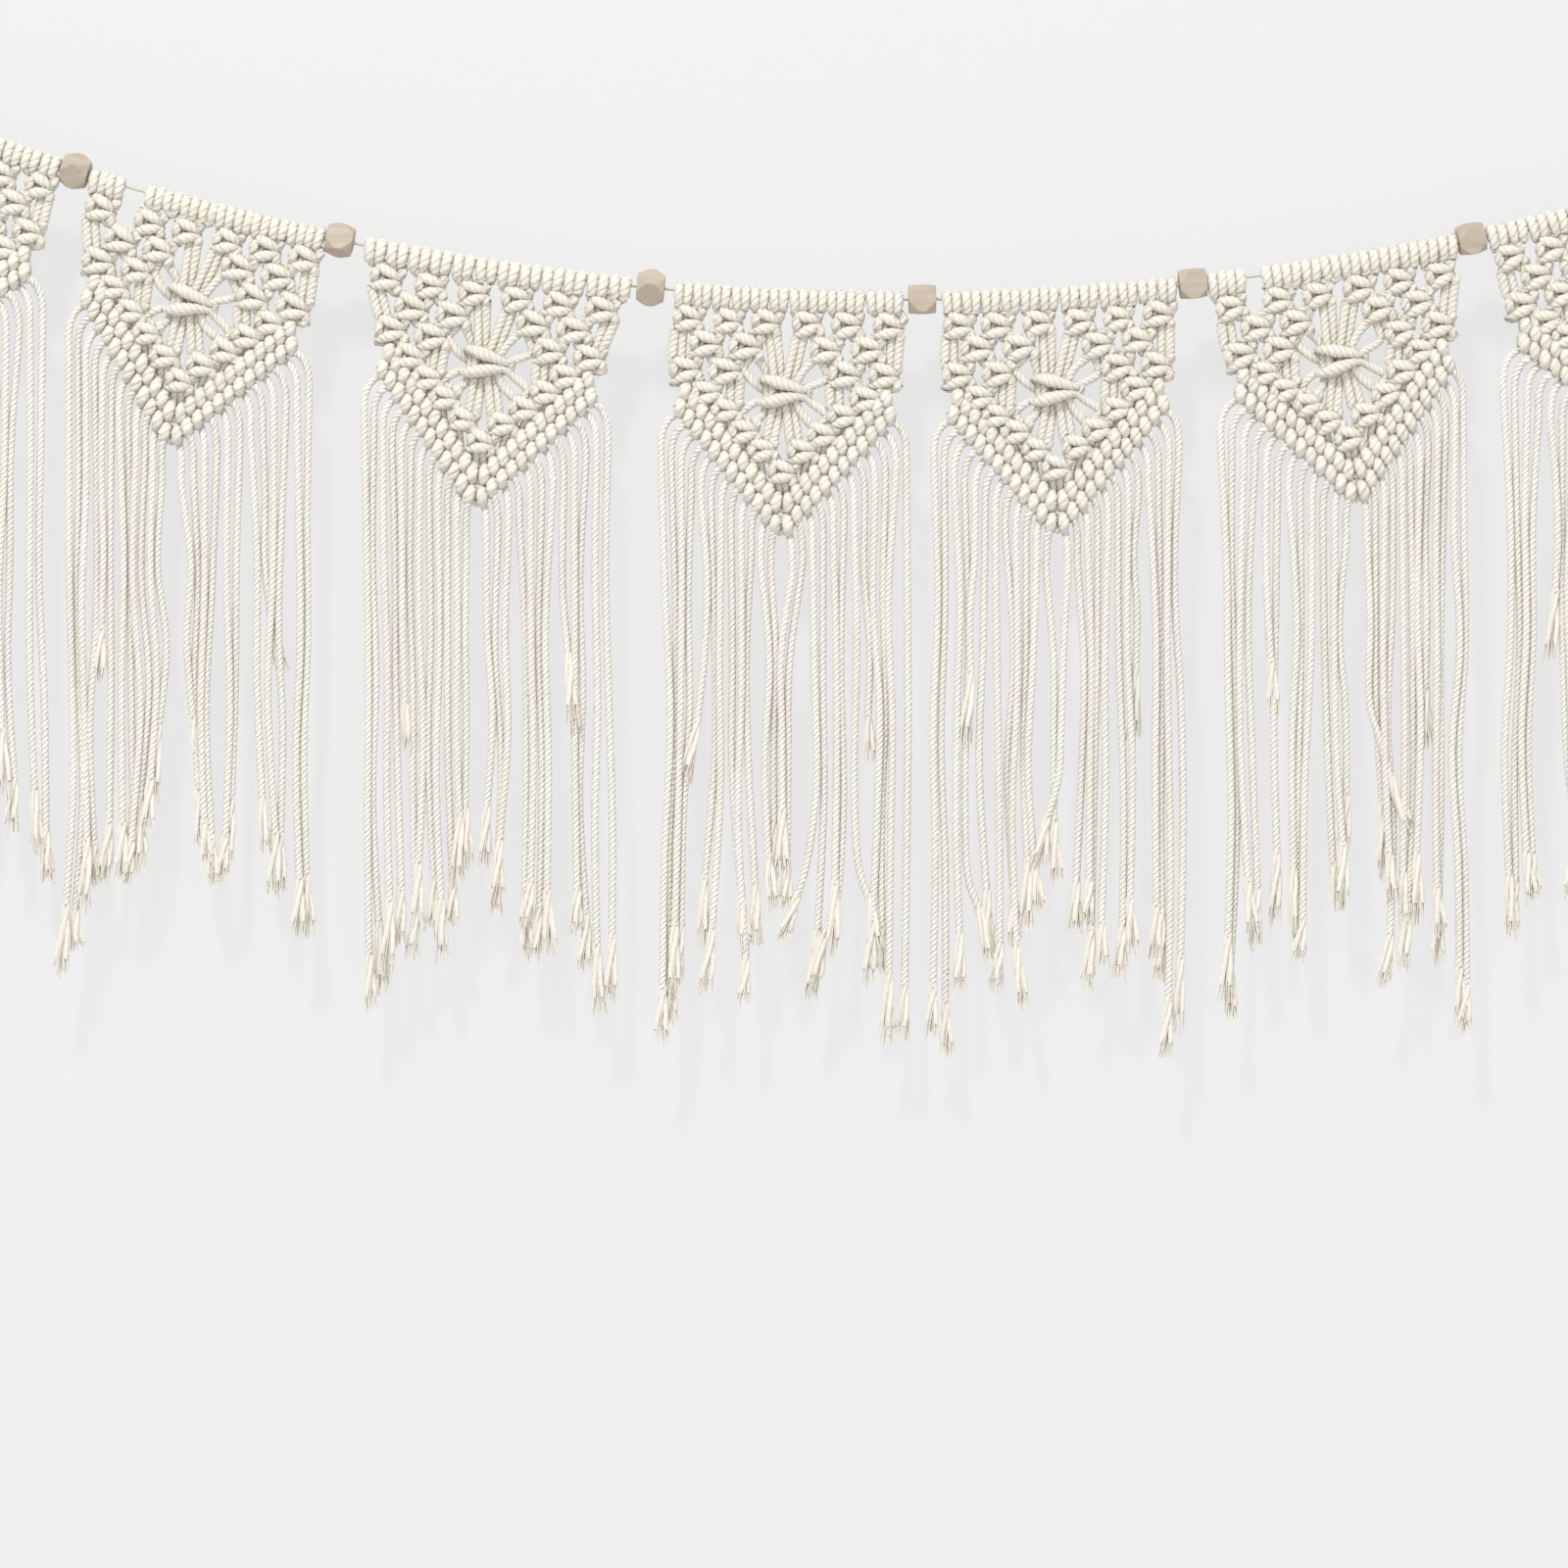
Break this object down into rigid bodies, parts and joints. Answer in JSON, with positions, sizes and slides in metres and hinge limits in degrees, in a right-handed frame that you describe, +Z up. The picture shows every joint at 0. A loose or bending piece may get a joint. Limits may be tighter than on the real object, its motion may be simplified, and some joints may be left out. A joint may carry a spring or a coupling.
{
  "type": "macrame bunting",
  "caption": "Bunting of knotted cotton pennants with long fringes and faceted wooden beads, threaded on a thin string that hangs in a shallow sag from two tied loops.",
  "frame": {"origin": "inside of the bend of the left hanging loop, where the bunting hangs", "axes": "+X along the bunting to the right, +Y to the back, +Z up; the front faces -Y"},
  "size_m": [1.2206, 0.0224, 0.5948],
  "materials": {
    "cotton_cord": "matt, twisted natural cotton",
    "header_cord": "matt, fine twisted cord",
    "bead_wood": "bare, sanded pale wood"
  },
  "bodies": {
    "root": {"header_string": "header_cord", "bead_1": "bead_wood", "bead_2": "bead_wood", "bead_3": "bead_wood", "bead_4": "bead_wood", "bead_5": "bead_wood", "bead_6": "bead_wood", "pennant_0": "cotton_cord", "pennant_1": "cotton_cord", "pennant_2": "cotton_cord", "pennant_3": "cotton_cord", "pennant_4": "cotton_cord", "pennant_5": "cotton_cord", "pennant_6": "cotton_cord", "fringe_0": "cotton_cord", "fringe_1": "cotton_cord", "fringe_2": "cotton_cord", "fringe_3": "cotton_cord", "fringe_4": "cotton_cord", "fringe_5": "cotton_cord", "fringe_6": "cotton_cord"}
  },
  "joints": []
}
